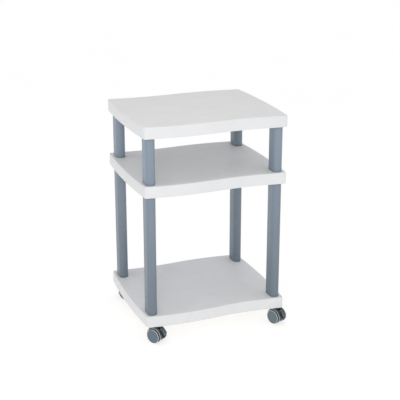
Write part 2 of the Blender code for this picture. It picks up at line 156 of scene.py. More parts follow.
# The side views of the lever's arm and pad, as (behind, above, corner radius), and its grip ridges.
ARM_SIDE = [
    (0.0115, 0.0090, 0.0006),
    (0.0165, 0.0110, 0.002),
    (0.0205, 0.0148, 0.003),
    (0.0252, 0.0166, 0.003),
    (0.0306, 0.0136, 0.003),
    (0.0336, 0.0092, 0.0008),
    (0.0358, 0.0100, 0.0008),
    (0.0348, 0.0155, 0.006),
    (0.0306, 0.0208, 0.006),
    (0.0246, 0.0240, 0.005),
    (0.0170, 0.0252, 0.005),
    (0.0115, 0.0218, 0.003),
    (0.0095, 0.0125, 0.003),
]
PAD_TOP = (0.0356, 0.0162)
PAD_TIP = (0.0372, 0.0106)
PAD_SIDE = [
    (0.0284, 0.0184, 0.0008),
    (0.0320, 0.0138, 0.006),
    (0.0344, 0.0080, 0.0006),
    (0.0364, 0.0080, 0.0006),
    (*PAD_TIP, 0.002),
    (*PAD_TOP, 0.006),
    (0.0312, 0.0217, 0.0012),
]
RIDGE_RADIUS = 0.0006
RIDGE_SHARES = (0.2, 0.5, 0.8)

AXLE_ALONG_X = Matrix.Rotation(math.pi / 2, 4, "Y")

# Camera and lights
CAMERA_AZIMUTH = 20.09
CAMERA_PITCH = 18.52
CAMERA_LENS = 90.4
CAMERA_FROM_MIDDLE = (-1.1213, -3.1169)
CAMERA_HEIGHT = 1.5214
FLOOR_SIZE = 30
FLOOR_TONES = (0.35, 0.37)
FLOOR_GLOW = (1, 0.986, 0.965)
FLOOR_GLOW_STRENGTH = 0.722
ROOM_COLOR = (0.90, 0.93, 1.0)
ROOM_STRENGTH = 0.732
# Each lamp's name, place, aim, width in metres, power in watts and colour.
LAMPS = (
    ("top", (0, -0.3, 2.8), (0, 0, 0.45), 1.6, 8.6, (1.0, 0.87, 0.60)),
    ("front", (-0.9, -1.9, 1.5), (0, 0, 0.72), 0.9, 12.2, (0.85, 0.90, 1.0)),
)


# Mesh building


def mesh_of(bm, name="shape"):
    """A mesh of what bm holds, with its faces turned outwards. bm is freed."""
    bmesh.ops.recalc_face_normals(bm, faces=bm.faces)
    mesh = bpy.data.meshes.new(name)
    bm.to_mesh(mesh)
    bm.free()
    return mesh


def smooth(mesh, angle=32):
    """The mesh shaded smooth, with its edges over an angle in degrees left sharp."""
    mesh.shade_smooth()
    mesh.set_sharp_from_angle(angle=math.radians(angle))
    return mesh


def loft(rings, closed=False):
    """A skin over rings of points. Its ends are filled, or joined to each other if it is closed."""
    bm = bmesh.new()
    rows = [[bm.verts.new(point) for point in ring] for ring in rings]
    for low, high in zip(rows, rows[1:] + rows[:1] if closed else rows[1:]):
        for number in range(len(low)):
            after = (number + 1) % len(low)
            bm.faces.new((low[number], low[after], high[after], high[number]))
    if not closed:
        bm.faces.new(reversed(rows[0]))
        bm.faces.new(rows[-1])
    return mesh_of(bm)


def turned(profile, steps=64):
    """A solid turned about Z, from (radius, height) points all round its section."""
    bm = bmesh.new()
    points = [bm.verts.new((radius, 0, height)) for radius, height in profile]
    edges = [bm.edges.new(pair) for pair in zip(points, points[1:])]
    bmesh.ops.spin(
        bm, geom=points + edges, cent=(0, 0, 0), axis=(0, 0, 1), angle=math.tau, steps=steps
    )
    bmesh.ops.remove_doubles(bm, verts=bm.verts, dist=MERGE)
    return mesh_of(bm)


def rounded(corners, steps, closed=False):
    """An outline from (x, y, radius) corners, each drawn as an arc. If closed, it ends where it starts."""
    points = []
    for before, corner, after in zip(corners[-1:] + corners, corners, corners[1:] + corners[:1]):
        here, radius = Vector(corner[:2]), corner[2]
        if not radius:
            points.append(tuple(here))
            continue
        back = (Vector(before[:2]) - here).normalized()
        ahead = (Vector(after[:2]) - here).normalized()
        half = back.angle(ahead) / 2
        centre = here + (back + ahead).normalized() * radius / math.sin(half)
        reach = radius / math.tan(half)
        first, last = here + back * reach - centre, here + ahead * reach - centre
        sweep = math.pi - 2 * half
        for step in range(steps + 1):
            share = step / steps
            turn = first * math.sin((1 - share) * sweep) + last * math.sin(share * sweep)
            points.append(tuple(centre + turn / math.sin(sweep)))
    return points + points[:1] if closed else points


def rounded_rectangle(half_x, half_y, radius, arc_steps, side_steps=(1, 1)):
    """Points anticlockwise round a rectangle with round corners."""
    corners = [(1, -1, -90), (1, 1, 0), (-1, 1, 90), (-1, -1, 180)]
    arcs = []
    for sx, sy, start in corners:
        angles = [math.radians(start + 90 * step / arc_steps) for step in range(arc_steps + 1)]
        centre_x, centre_y = sx * (half_x - radius), sy * (half_y - radius)
        arcs.append(
            [(centre_x + radius * math.cos(a), centre_y + radius * math.sin(a)) for a in angles]
        )
    points = []
    for number, arc in enumerate(arcs):
        points += arc
        end = Vector(arc[-1])
        run = Vector(arcs[(number + 1) % 4][0]) - end
        steps = side_steps[1 - number % 2]
        points += [tuple(end + run * step / steps) for step in range(1, steps)]
    return points


def prism(outline, low, high, draft=0.0):
    """An upright prism. draft opens its top."""
    centre = sum((Vector(point) for point in outline), Vector((0, 0))) / len(outline)
    rings = []
    for height, grow in ((low, 0), (high, draft)):
        ring = []
        for point in outline:
            arm = Vector(point) - centre
            ring.append((*(centre + arm * (1 + grow / arm.length)), height))
        rings.append(ring)
    return loft(rings)


def box(low, high):
    """A block between two opposite corners."""
    low, high = Vector(low), Vector(high)
    outline = [(low.x, low.y), (high.x, low.y), (high.x, high.y), (low.x, high.y)]
    return prism(outline, low.z, high.z)


def upright(radius, low, high, x=0, y=0, draft=0.0, steps=48):
    """An upright round boss or cutter."""
    angles = [math.tau * step / steps for step in range(steps)]
    outline = [(x + radius * math.cos(a), y + radius * math.sin(a)) for a in angles]
    return prism(outline, low, high, draft)


def moved(mesh, matrix):
    """The mesh itself, moved by a matrix."""
    mesh.transform(matrix)
    return mesh


def combined(mesh, tools):
    """The mesh with each (operation, shape) done to it in turn."""
    blank = bpy.data.objects.new("blank", mesh)
    bpy.context.scene.collection.objects.link(blank)
    helpers = []
    for operation, shape in tools:
        helper = bpy.data.objects.new("tool", shape)
        bpy.context.scene.collection.objects.link(helper)
        helpers.append(helper)
        modifier = blank.modifiers.new("tool", "BOOLEAN")
        modifier.operation = operation
        modifier.solver = "EXACT"
        modifier.object = helper
    bpy.context.view_layer.update()
    graph = bpy.context.evaluated_depsgraph_get()
    result = bpy.data.meshes.new_from_object(blank.evaluated_get(graph))
    for helper in [blank, *helpers]:
        bpy.data.objects.remove(helper)
    bm = bmesh.new()
    bm.from_mesh(result)
    bmesh.ops.remove_doubles(bm, verts=bm.verts, dist=MERGE)
    bmesh.ops.dissolve_degenerate(bm, edges=bm.edges, dist=MERGE)
    bm.to_mesh(result)
    bm.free()
    return result


def cut(shape):
    """A shape to take away, for combined."""
    return ("DIFFERENCE", shape)


def join(shape):
    """A shape to add, for combined."""
    return ("UNION", shape)


# Materials

BEVEL_SAMPLES = 6
COVER_SAMPLES = 8
SOFT_EDGE = 0.0006
RUBBED_EDGE = 0.0012


def linear(*steps):
    """A colour given in eight-bit steps, made linear."""
    return tuple((step / 255) ** 2.2 for step in steps)


DUST_COLOR = linear(206, 204, 199)


def link(tree, source, target):
    tree.links.new(source, target)


def math_node(tree, operation, first, second=None, clamp=False):
    """The result of an operation on one or two values, each a socket or a number."""
    node = tree.nodes.new("ShaderNodeMath")
    node.operation = operation
    node.use_clamp = clamp
    for socket, value in zip(node.inputs, (first, second)):
        if value is None:
            continue
        if isinstance(value, bpy.types.NodeSocket):
            link(tree, value, socket)
        else:
            socket.default_value = value
    return node.outputs[0]


def spread(tree, value, low, high, to_low=0.0, to_high=1.0):
    """value between low and high, spread over to_low to to_high."""
    node = tree.nodes.new("ShaderNodeMapRange")
    link(tree, value, node.inputs["Value"])
    for name, number in zip(("From Min", "From Max", "To Min", "To Max"), (low, high, to_low, to_high)):
        node.inputs[name].default_value = number
    return node.outputs[0]


def noise(tree, size, detail=2.0, stretch=(1, 1, 1), seed=0.0):
    """Noise whose features are about size metres across, more along an axis with a stretch."""
    coordinates = tree.nodes.new("ShaderNodeTexCoord")
    mapping = tree.nodes.new("ShaderNodeMapping")
    mapping.inputs["Location"].default_value = (seed, seed * 1.7, -seed)
    mapping.inputs["Scale"].default_value = [1 / share for share in stretch]
    texture = tree.nodes.new("ShaderNodeTexNoise")
    texture.inputs["Scale"].default_value = 1 / size
    texture.inputs["Detail"].default_value = detail
    link(tree, coordinates.outputs["Object"], mapping.inputs["Vector"])
    link(tree, mapping.outputs["Vector"], texture.inputs["Vector"])
    return texture.outputs["Fac"]


def blend_colors(tree, share, first, second):
    """first where share is 0, turning into second where it is 1."""
    node = tree.nodes.new("ShaderNodeMix")
    node.data_type = "RGBA"
    link(tree, share, node.inputs["Factor"])
    sockets = [socket for socket in node.inputs if socket.type == "RGBA"]
    for socket, color in zip(sockets, (first, second)):
        if isinstance(color, bpy.types.NodeSocket):
            link(tree, color, socket)
        else:
            socket.default_value = (*color, 1)
    return next(output for output in node.outputs if output.type == "RGBA")


def edge_mask(tree, radius):
    """Near 1 on edges and corners, 0 on open surfaces."""
    bevel = tree.nodes.new("ShaderNodeBevel")
    bevel.samples = BEVEL_SAMPLES
    bevel.inputs["Radius"].default_value = radius
    geometry = tree.nodes.new("ShaderNodeNewGeometry")
    product = tree.nodes.new("ShaderNodeVectorMath")
    product.operation = "DOT_PRODUCT"
    link(tree, bevel.outputs["Normal"], product.inputs[0])
    link(tree, geometry.outputs["Normal"], product.inputs[1])
    return spread(tree, product.outputs["Value"], 0.99, 0.75)


def bump(tree, height, distance, strength, normal=None):
    """A normal, or one already bumped, tilted as if the surface had this height."""
    node = tree.nodes.new("ShaderNodeBump")
    node.inputs["Distance"].default_value = distance
    node.inputs["Strength"].default_value = strength
    link(tree, height, node.inputs["Height"])
    if normal:
        link(tree, normal, node.inputs["Normal"])
    return node.outputs["Normal"]


def new_material(name):
    """A new material, its tree and its shader."""
    material = bpy.data.materials.new(name)
    material.use_nodes = True
    return material, material.node_tree, material.node_tree.nodes["Principled BSDF"]


def scaled(color, share):
    """A colour made darker, or lighter, by a share."""
    return tuple(share * step for step in color)


def pebbles(tree, size):
    """The rounded bumps of an etched mould, about size metres across."""
    cells = tree.nodes.new("ShaderNodeTexVoronoi")
    cells.feature = "SMOOTH_F1"
    cells.inputs["Scale"].default_value = 1 / size
    cells.inputs["Smoothness"].default_value = 0.6
    link(tree, tree.nodes.new("ShaderNodeTexCoord").outputs["Object"], cells.inputs["Vector"])
    return spread(tree, cells.outputs["Distance"], 0.1, 0.8, 1.0, 0.0)


def hairlines(tree, stretch, seed):
    """Thin scratches, as the level lines of stretched noise, in a few patches only."""
    field = math_node(tree, "SUBTRACT", noise(tree, 0.006, 1, stretch, seed), 0.5)
    lines = spread(tree, math_node(tree, "ABSOLUTE", field), 0.0, 0.014, 1.0, 0.0)
    patches = spread(tree, noise(tree, 0.045, 2, seed=seed + 4.0), 0.52, 0.68)
    return math_node(tree, "MULTIPLY", lines, patches)


def object_axis(tree, axis):
    """Each point's place along one of the object's own axes, in metres."""
    split = tree.nodes.new("ShaderNodeSeparateXYZ")
    link(tree, tree.nodes.new("ShaderNodeTexCoord").outputs["Object"], split.inputs[0])
    return split.outputs[axis]


def crevices(tree, reach):
    """Near 1 where surfaces within reach close a place in, and 0 where it is open."""
    cover = tree.nodes.new("ShaderNodeAmbientOcclusion")
    cover.samples = COVER_SAMPLES
    cover.inputs["Distance"].default_value = reach
    return spread(tree, cover.outputs["AO"], 0.25, 0.85, 1.0, 0.0)


def upward(tree):
    """Near 1 on surfaces that face up and 0 on the others."""
    geometry = tree.nodes.new("ShaderNodeNewGeometry")
    split = tree.nodes.new("ShaderNodeSeparateXYZ")
    link(tree, geometry.outputs["Normal"], split.inputs[0])
    return spread(tree, split.outputs["Z"], 0.7, 0.95)


def moulded_tone(tree, color, flow, rubbed_and_highlit, wear_and_highlight):
    """Slow clouds of tone along the flow, fine specks, and paler edges that are rubbed wear and also a painted
    highlight.
    """
    clouds = spread(tree, noise(tree, 0.09, 4, flow), 0.3, 0.7)
    specks = spread(tree, noise(tree, 0.0016, 1, seed=3.1), 0.35, 0.75, 0.0, 0.3)
    tone = blend_colors(tree, clouds, color, scaled(color, 0.955))
    tone = blend_colors(tree, specks, tone, scaled(color, 0.9))
    return blend_colors(tree, rubbed_and_highlit, tone, wear_and_highlight)


def moulded_plastic(
    name,
    color,
    wear_and_highlight,
    roughness,
    grain,
    grain_depth,
    flow=(1, 1, 1),
    dust=0.0,
    crevice_shade=0.0,
    crevice_shade_reach=0.012,
    shine=0.5,
):
    """Moulded plastic: an etched grain, paler edges that are rubbed wear and also a painted highlight, hairline
    scratches, dust, and painted shade in crevices.
    """
    material, tree, shader = new_material(name)
    # Paler edges: rubbed wear, and on the darker plastics a painted highlight too.
    wear = spread(tree, noise(tree, 0.02, 3, seed=7.7), 0.35, 0.65, 0.25, 0.8)
    rubbed_and_highlit = math_node(tree, "MULTIPLY", edge_mask(tree, RUBBED_EDGE), wear)
    scratched = math_node(
        tree, "MAXIMUM", hairlines(tree, (40, 1, 2), 2.3), hairlines(tree, (2, 32, 4), 8.9)
    )
    drifts = spread(tree, noise(tree, 0.05, 5, seed=6.1), 0.3, 0.7, 0, dust)
    settled = math_node(tree, "MULTIPLY", upward(tree), drifts)
    tone = moulded_tone(tree, color, flow, rubbed_and_highlit, wear_and_highlight)
    tone = blend_colors(tree, math_node(tree, "MULTIPLY", scratched, 0.14), tone, wear_and_highlight)
    tone = blend_colors(tree, settled, tone, DUST_COLOR)
    # Painted shade: crevices and places closed in by other parts turn nearly black.
    if crevice_shade:
        crevice_shaded = math_node(tree, "MULTIPLY", crevices(tree, crevice_shade_reach), crevice_shade)
        tone = blend_colors(tree, crevice_shaded, tone, scaled(color, 0.08))
    link(tree, tone, shader.inputs["Base Color"])
    gloss = noise(tree, 0.035, 4, flow, seed=1.3)
    gloss = spread(tree, gloss, 0.3, 0.7, roughness - 0.05, roughness + 0.06)
    gloss = math_node(tree, "SUBTRACT", gloss, math_node(tree, "MULTIPLY", rubbed_and_highlit, 0.1))
    gloss = math_node(tree, "ADD", gloss, math_node(tree, "MULTIPLY", settled, 0.4))
    gloss = math_node(tree, "ADD", gloss, math_node(tree, "MULTIPLY", scratched, 0.12), clamp=True)
    link(tree, gloss, shader.inputs["Roughness"])
    bevel = tree.nodes.new("ShaderNodeBevel")
    bevel.samples = BEVEL_SAMPLES
    bevel.inputs["Radius"].default_value = SOFT_EDGE
    slow = bump(tree, noise(tree, 0.03, 2, flow, seed=5.2), 0.0006, 0.12, bevel.outputs["Normal"])
    etched = bump(tree, pebbles(tree, grain), grain_depth, 0.5, slow)
    fine = bump(tree, noise(tree, grain / 3, 3), grain_depth / 3, 0.5, etched)
    link(tree, bump(tree, scratched, -0.00002, 0.6, fine), shader.inputs["Normal"])
    shader.inputs["IOR"].default_value = 1.5
    shader.inputs["Specular IOR Level"].default_value = shine
    shader.inputs["Sheen Weight"].default_value = 0.03
    return material


def post_plastic(name, color, wear_and_highlight, unshaded_above, shaded_below):
    """Moulded plastic with lengthwise flow, and painted shade that darkens it towards its foot."""
    material = moulded_plastic(
        name, color, wear_and_highlight, 0.36, 0.0008, 0.00006, flow=(1, 1, 6), crevice_shade=0.6, shine=0.2
    )
    tree = material.node_tree
    shader = tree.nodes["Principled BSDF"]
    # Painted shade: darker from the top deck down to the bottom deck, in patches.
    painted_falloff = spread(tree, object_axis(tree, "Z"), unshaded_above, shaded_below, 0.0, 0.75)
    patches = spread(tree, noise(tree, 0.04, 4, (1, 1, 3), 12.5), 0.3, 0.7, 0.85, 1.0)
    painted_falloff = math_node(tree, "MULTIPLY", painted_falloff, patches)
    tone = shader.inputs["Base Color"].links[0].from_socket
    link(tree, blend_colors(tree, painted_falloff, tone, scaled(color, 0.5)), shader.inputs["Base Color"])
    return material


def radius_in_object(tree):
    """Each point's distance from the object's own Z axis, in metres."""
    coordinates = tree.nodes.new("ShaderNodeTexCoord")
    flat = tree.nodes.new("ShaderNodeVectorMath")
    flat.operation = "MULTIPLY"
    flat.inputs[1].default_value = (1, 1, 0)
    link(tree, coordinates.outputs["Object"], flat.inputs[0])
    length = tree.nodes.new("ShaderNodeVectorMath")
    length.operation = "LENGTH"
    link(tree, flat.outputs["Vector"], length.inputs[0])
    return length.outputs["Value"]


def wheel_plastic(name, disc, rim, tread, radius):
    """Moulded plastic that changes from the disc to a painted highlight at the rim, and to a scuffed, dusty tread.
    """
    material = moulded_plastic(name, disc, rim, 0.4, 0.0007, 0.00004, crevice_shade=0.5)
    tree = material.node_tree
    shader = tree.nodes["Principled BSDF"]
    here = radius_in_object(tree)
    disc_tone = shader.inputs["Base Color"].links[0].from_socket
    # Painted highlight: the pale ring round the disc.
    on_rim_highlight = spread(tree, here, 0.91 * radius, 0.93 * radius)
    tone = blend_colors(tree, on_rim_highlight, disc_tone, rim)
    scuffs = spread(tree, noise(tree, 0.004, 4, seed=9.4), 0.3, 0.7)
    scuffed = blend_colors(tree, scuffs, tread, scaled(tread, 1.35))
    rolling = spread(tree, here, 0.97 * radius, 0.985 * radius)
    link(tree, blend_colors(tree, rolling, tone, scuffed), shader.inputs["Base Color"])
    polish = shader.inputs["Roughness"].links[0].from_socket
    worn_polish = math_node(tree, "ADD", polish, math_node(tree, "MULTIPLY", rolling, 0.2), clamp=True)
    link(tree, worn_polish, shader.inputs["Roughness"])
    return material


def hood_plastic(name, color, bead, half_width):
    """Moulded plastic with a pale painted highlight along the bead at both edges of the hood."""
    material = moulded_plastic(
        name, color, bead, 0.4, 0.0007, 0.00004, crevice_shade=0.9, crevice_shade_reach=0.04, shine=0.35
    )
    tree = material.node_tree
    shader = tree.nodes["Principled BSDF"]
    across_hood = math_node(tree, "ABSOLUTE", object_axis(tree, "X"))
    start = half_width - 0.8 * HOOD_BEAD_WIDTH
    # Painted highlight: the pale band on each edge's bead.
    on_bead_highlight = spread(tree, across_hood, start - FINE_EDGE, start, 0.0, 0.75)
    tone = shader.inputs["Base Color"].links[0].from_socket
    link(tree, blend_colors(tree, on_bead_highlight, tone, bead), shader.inputs["Base Color"])
    return material


def turned_steel(name, color, roughness):
    """Bright steel with fine turning marks round Z and a little tarnish."""
    material, tree, shader = new_material(name)
    shader.inputs["Metallic"].default_value = 1.0
    tarnish = spread(tree, noise(tree, 0.012, 4), 0.35, 0.7)
    tone = blend_colors(tree, tarnish, color, scaled(color, 0.78))
    link(tree, tone, shader.inputs["Base Color"])
    marks = noise(tree, 0.0003, 2, (60, 60, 1))
    polish = spread(tree, marks, 0.3, 0.7, roughness - 0.06, roughness + 0.1)
    link(tree, polish, shader.inputs["Roughness"])
    link(tree, bump(tree, marks, 0.00004, 0.5), shader.inputs["Normal"])
    return material


MATERIALS = {
    "shelf_plastic": moulded_plastic(
        "shelf_plastic", linear(231, 230, 227), linear(241, 240, 237), 0.46, 0.0013, 0.00012, dust=0.06
    ),
    "post_plastic": post_plastic(
        "post_plastic", linear(142, 154, 165), linear(170, 181, 191), TOP_DECK, BOTTOM_DECK
    ),
    "inner_plastic": moulded_plastic(
        "inner_plastic", linear(52, 53, 56), linear(80, 81, 84), 0.5, 0.0008, 0.00004
    ),
    # The pale bead tone is a painted highlight, and the hood's crevices, its top under the shelf among them, get
    # painted shade.
    "hood_plastic": hood_plastic(
        "hood_plastic", linear(76, 84, 87), linear(176, 186, 190), HOOD_HALF_WIDTH
    ),
    "brake_plastic": moulded_plastic(
        "brake_plastic",
        linear(90, 98, 103),
        # Pale edge tone: wear, and a painted highlight as well.
        linear(176, 185, 190),
        0.4,
        0.0007,
        0.00004,
        crevice_shade=0.8,
        crevice_shade_reach=0.02,
        shine=0.35,
    ),
    "wheel_plastic": wheel_plastic(
        "wheel_plastic",
        linear(97, 110, 117),
        # The pale rim tone is a painted highlight.
        linear(200, 210, 214),
        linear(30, 33, 36),
        JOINTS["left_wheel_front_left_roll"]["pos_m"][2],
    ),
    "plated_steel": turned_steel("plated_steel", linear(200, 201, 204), 0.3),
    "spring_steel": turned_steel("spring_steel", linear(150, 150, 154), 0.38),
}


def stand_for(node, mesh, matrix=None):
    """A detailed piece in place of a CAD node, moving with its body and finished as its slot."""
    piece = bpy.data.objects.new(f"fine_{node}", mesh)
    bpy.context.scene.collection.objects.link(piece)
    if matrix:
        piece.matrix_world = matrix
    if not mesh.materials:
        mesh.materials.append(MATERIALS[SLOT_OF[node]])
    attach(piece, BODY_OF[node])
    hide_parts(node)
    return piece


# Shelves


def bow_at(y):
    """How far a shelf's side swells at a distance y from its middle."""
    return SIDE_BOW * (1 - (y / SHELF_HALF_Y) ** 2)


def wave_at(x):
    """How far back the front and back edges are at a distance x from the shelf's middle."""
    return WAVE_HEIGHT * math.sin(math.tau * (x - WAVE_START) / WAVE_LENGTH)


def shelf_ring(inset, height):
    """The shelves' outline at a height, drawn in by inset."""
    outline = rounded_rectangle(
        SHELF_HALF_X - inset,
        SHELF_HALF_Y - inset,
        SHELF_CORNER_RADIUS - inset,
        SHELF_ARC_STEPS,
        SHELF_SIDE_STEPS,
    )
    return [
        (x + bow_at(y) * x / SHELF_HALF_X + MIDDLE.x, y + wave_at(x) + MIDDLE.y, height)
        for x, y in outline
    ]


def shelf_shell(deck):
    """An upturned tray with round edges, skinned from under its deck round the skirt to its top."""
    low = deck - SKIRT_HEIGHT
    rim = SKIRT_WALL + INNER_FILLET + DECK_MARGIN
    profile = [
        (rim, deck - DECK_THICKNESS, 0),
        (SKIRT_WALL, deck - DECK_THICKNESS, INNER_FILLET),
        (SKIRT_WALL - SKIRT_DRAFT, low, HEM_RADIUS),
        (0, low, HEM_RADIUS),
        (SKIRT_DRAFT, deck, TOP_EDGE_RADIUS),
        (rim, deck, 0),
    ]
    return loft([shelf_ring(inset, height) for inset, height in rounded(profile, 6)])


def rib(near, far, deck):
    """A rib under a deck, thinner at its tip and flared where it meets the deck."""
    low = deck - DECK_THICKNESS - RIB_DEPTH
    root = deck - DECK_THICKNESS
    near, far = Vector(near), Vector(far)
    run = (far - near).normalized()
    side = Vector((-run.y, run.x))
    levels = [
        (low, RIB_TIP - FINE_EDGE),
        (low + FINE_EDGE, RIB_TIP),
        (root - RIB_FLARE, RIB_ROOT),
        (root - RIB_FLARE / 3, RIB_ROOT + RIB_FLARE / 4),
        (root + RIB_LAP, RIB_ROOT + RIB_FLARE),
        (root + OVERLAP, RIB_ROOT + RIB_FLARE),
    ]
    rings = []
    for height, half in levels:
        corners = (near - side * half, far - side * half, far + side * half, near + side * half)
        rings.append([(*corner, height) for corner in corners])
    return loft(rings)


def ribs(deck):
    """The ribs under a deck, each from skirt to skirt."""
    shapes = []
    for y in LONG_RIBS_Y:
        reach = SHELF_HALF_X + bow_at(y) - SKIRT_WALL / 2
        across = MIDDLE + Vector((0, y))
        shapes.append(rib(across - Vector((reach, 0)), across + Vector((reach, 0)), deck))
    for x in CROSS_RIBS_X:
        reach = SHELF_HALF_Y - SKIRT_WALL / 2
        along = MIDDLE + Vector((x, wave_at(x)))
        shapes.append(rib(along - Vector((0, reach)), along + Vector((0, reach)), deck))
    return [join(shape) for shape in shapes]


def post_outline(corner, grow=0.0):
    """A corner's post in section, made larger by grow."""
    section = rounded_rectangle(
        POST_WIDTH / 2 + grow, POST_DEPTH / 2 + grow, POST_CORNER_RADIUS + grow, 16
    )
    place = POSTS[corner]
    return [(place.x + x, place.y + y) for x, y in section]


def post_socket(corner, deck):
    """A socket under a deck, which the post below fits into."""
    low = deck - SKIRT_HEIGHT + BOSS_RECESS
    high = deck - DECK_THICKNESS
    drawn_in, opened = POST_BOSS_TAPER
    boss = prism(post_outline(corner, GAP + BOSS_WALL - drawn_in), low, high + OVERLAP, opened)
    return [join(boss), cut(prism(post_outline(corner, GAP), low - OVERLAP, high))]


def sleeve_hole(corner, deck):
    """A hole through a deck, for the sleeve that joins two posts."""
    hole = prism(post_outline(corner, -POST_WALL), deck - DECK_THICKNESS - OVERLAP, deck + OVERLAP)
    return [cut(hole)]


def peg(corner, deck):
    """A hollow peg on a deck, which a post stands over."""
    grow = -POST_WALL - GAP
    top = deck + SLEEVE_REACH
    hollow = post_outline(corner, grow - SLEEVE_WALL)
    return [
        join(prism(post_outline(corner, grow), deck - OVERLAP, top)),
        cut(prism(hollow, deck + OVERLAP, top + OVERLAP)),
    ]


def caster_boss(corner, deck):
    """A round boss for a caster's socket, with webs to both skirts."""
    foot = FEET[corner]
    side, end = CORNERS[corner]
    low = deck - SKIRT_HEIGHT + BOSS_RECESS
    high = deck - DECK_THICKNESS + OVERLAP
    web_low = low + BOSS_RECESS
    skirt_x = side * SHELF_HALF_X + MIDDLE.x
    skirt_y = end * (SHELF_HALF_Y - SKIRT_WALL) + MIDDLE.y
    xs = sorted((foot.x - side * BOSS_WEB_REACH, skirt_x))
    ys = sorted((foot.y - end * BOSS_WEB_REACH, skirt_y))
    roof = deck - DECK_THICKNESS - BORE_ROOF
    drawn_in, opened = CASTER_BOSS_TAPER
    return [
        join(upright(CASTER_BOSS_RADIUS - drawn_in, low, high, foot.x, foot.y, opened)),
        join(box((xs[0], foot.y - RIB_ROOT, web_low), (xs[1], foot.y + RIB_ROOT, high))),
        join(box((foot.x - RIB_ROOT, ys[0], web_low), (foot.x + RIB_ROOT, ys[1], high))),
        cut(upright(SOCKET_RADIUS + GAP, low - OVERLAP, roof, foot.x, foot.y)),
    ]


def make_shelves():
    """The three trays, each with its ribs and what its corners need."""
    shelves = {
        "top_shelf": (TOP_DECK, (post_socket,)),
        "middle_shelf": (MIDDLE_DECK, (post_socket, sleeve_hole)),
        "bottom_shelf": (BOTTOM_DECK, (peg, caster_boss)),
    }
    for node, (deck, features) in shelves.items():
        tools = ribs(deck)
        for corner in CORNERS:
            for feature in features:
                tools += feature(corner, deck)
        stand_for(node, smooth(combined(shelf_shell(deck), tools)))


# Posts


def make_posts():
    """Hollow posts whose ends are lightly chamfered."""
    for kind in ("upper_post", "lower_post"):
        for corner in CORNERS:
            node = f"{kind}_{corner}"
            low, high = (point.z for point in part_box(node))
            levels = [
                (low, -POST_CHAMFER),
                (low + POST_CHAMFER, 0),
                (high - POST_CHAMFER, 0),
                (high, -POST_CHAMFER),
                (high, -POST_WALL),
                (low, -POST_WALL),
            ]
            rings = [[(*xy, z) for xy in post_outline(corner, grow)] for z, grow in levels]
            stand_for(node, smooth(loft(rings, closed=True)))


# Casters. In a caster's own axes the axle runs along X, the stem up Z, and it trails towards -Y.


class Caster:
    """A caster of the frame: a matrix from its own axes, and its axle and brake pin in them."""

    def __init__(self, corner):
        axle = JOINTS[f"left_wheel_{corner}_roll"]
        turn = math.atan2(axle["axis"][1], axle["axis"][0])
        foot = FEET[corner]
        self.matrix = Matrix.Translation((*foot, 0)) @ Matrix.Rotation(turn, 4, "Z")
        trail = (Vector(axle["pos_m"]).xy - foot).length
        self.height = axle["pos_m"][2]
        self.axle = Vector((0, -trail, self.height))
        self.brake = self.axle + Vector((0, -BRAKE_PIVOT[0], BRAKE_PIVOT[1]))


def across(shape, centre):
    """A shape turned about Z, laid along a caster's axle."""
    return moved(shape, Matrix.Translation(centre) @ AXLE_ALONG_X)


def rod(radius, length, centre, steps=32):
    """A round rod along a caster's axle."""
    return across(upright(radius, -length / 2, length / 2, steps=steps), centre)


def wheel_mesh(radius):
    """A wheel turned about Z: inner face at height 0, and outside a raised rim round a crowned disc."""
    width = WHEEL_WIDTH
    disc = WHEEL_DISC_SHARE * radius
    rim = WHEEL_RIM_SHARE * radius
    bore = AXLE_RADIUS + GAP
    nub = width - 0.0007
    corners = [
        (0, nub, 0),
        (0.0016, nub, FINE_EDGE),
        (0.0021, width - 0.0010, FINE_EDGE),
        (disc * 0.6, width - 0.0011, 0.02),
        (disc - 0.0003, width - 0.0014, 0.0002),
        (disc + 0.0003, width, FINE_EDGE),
        (rim, width, 0.0009),
        (radius, width - 0.0016, 0.0009),
        (radius, 0.0013, 0.0008),
        (rim, 0, 0.0008),
        (bore, 0, FINE_EDGE),
        (bore, width - AXLE_END_WALL, 0),
        (0, width - AXLE_END_WALL, 0),
    ]
    return smooth(turned(rounded(corners, 4), 96), 40)


def side_view(outline, half_width, centre, edge):
    """A plate across a caster from its side view, behind and above the axle, with round edges."""
    rings = []
    middle = sum((Vector(point) for point in outline), Vector((0, 0))) / len(outline)
    ends = [(half_width - edge, 0), (half_width - 0.3 * edge, -0.3 * edge), (half_width, -edge)]
    for x, grow in [(-x, grow) for x, grow in reversed(ends)] + ends:
        ring = []
        for point in outline:
            arm = Vector(point) - middle
            behind, above = middle + arm * (1 + grow / arm.length)
            ring.append(centre + Vector((x, -behind, above)))
        rings.append(ring)
    return loft(rings)


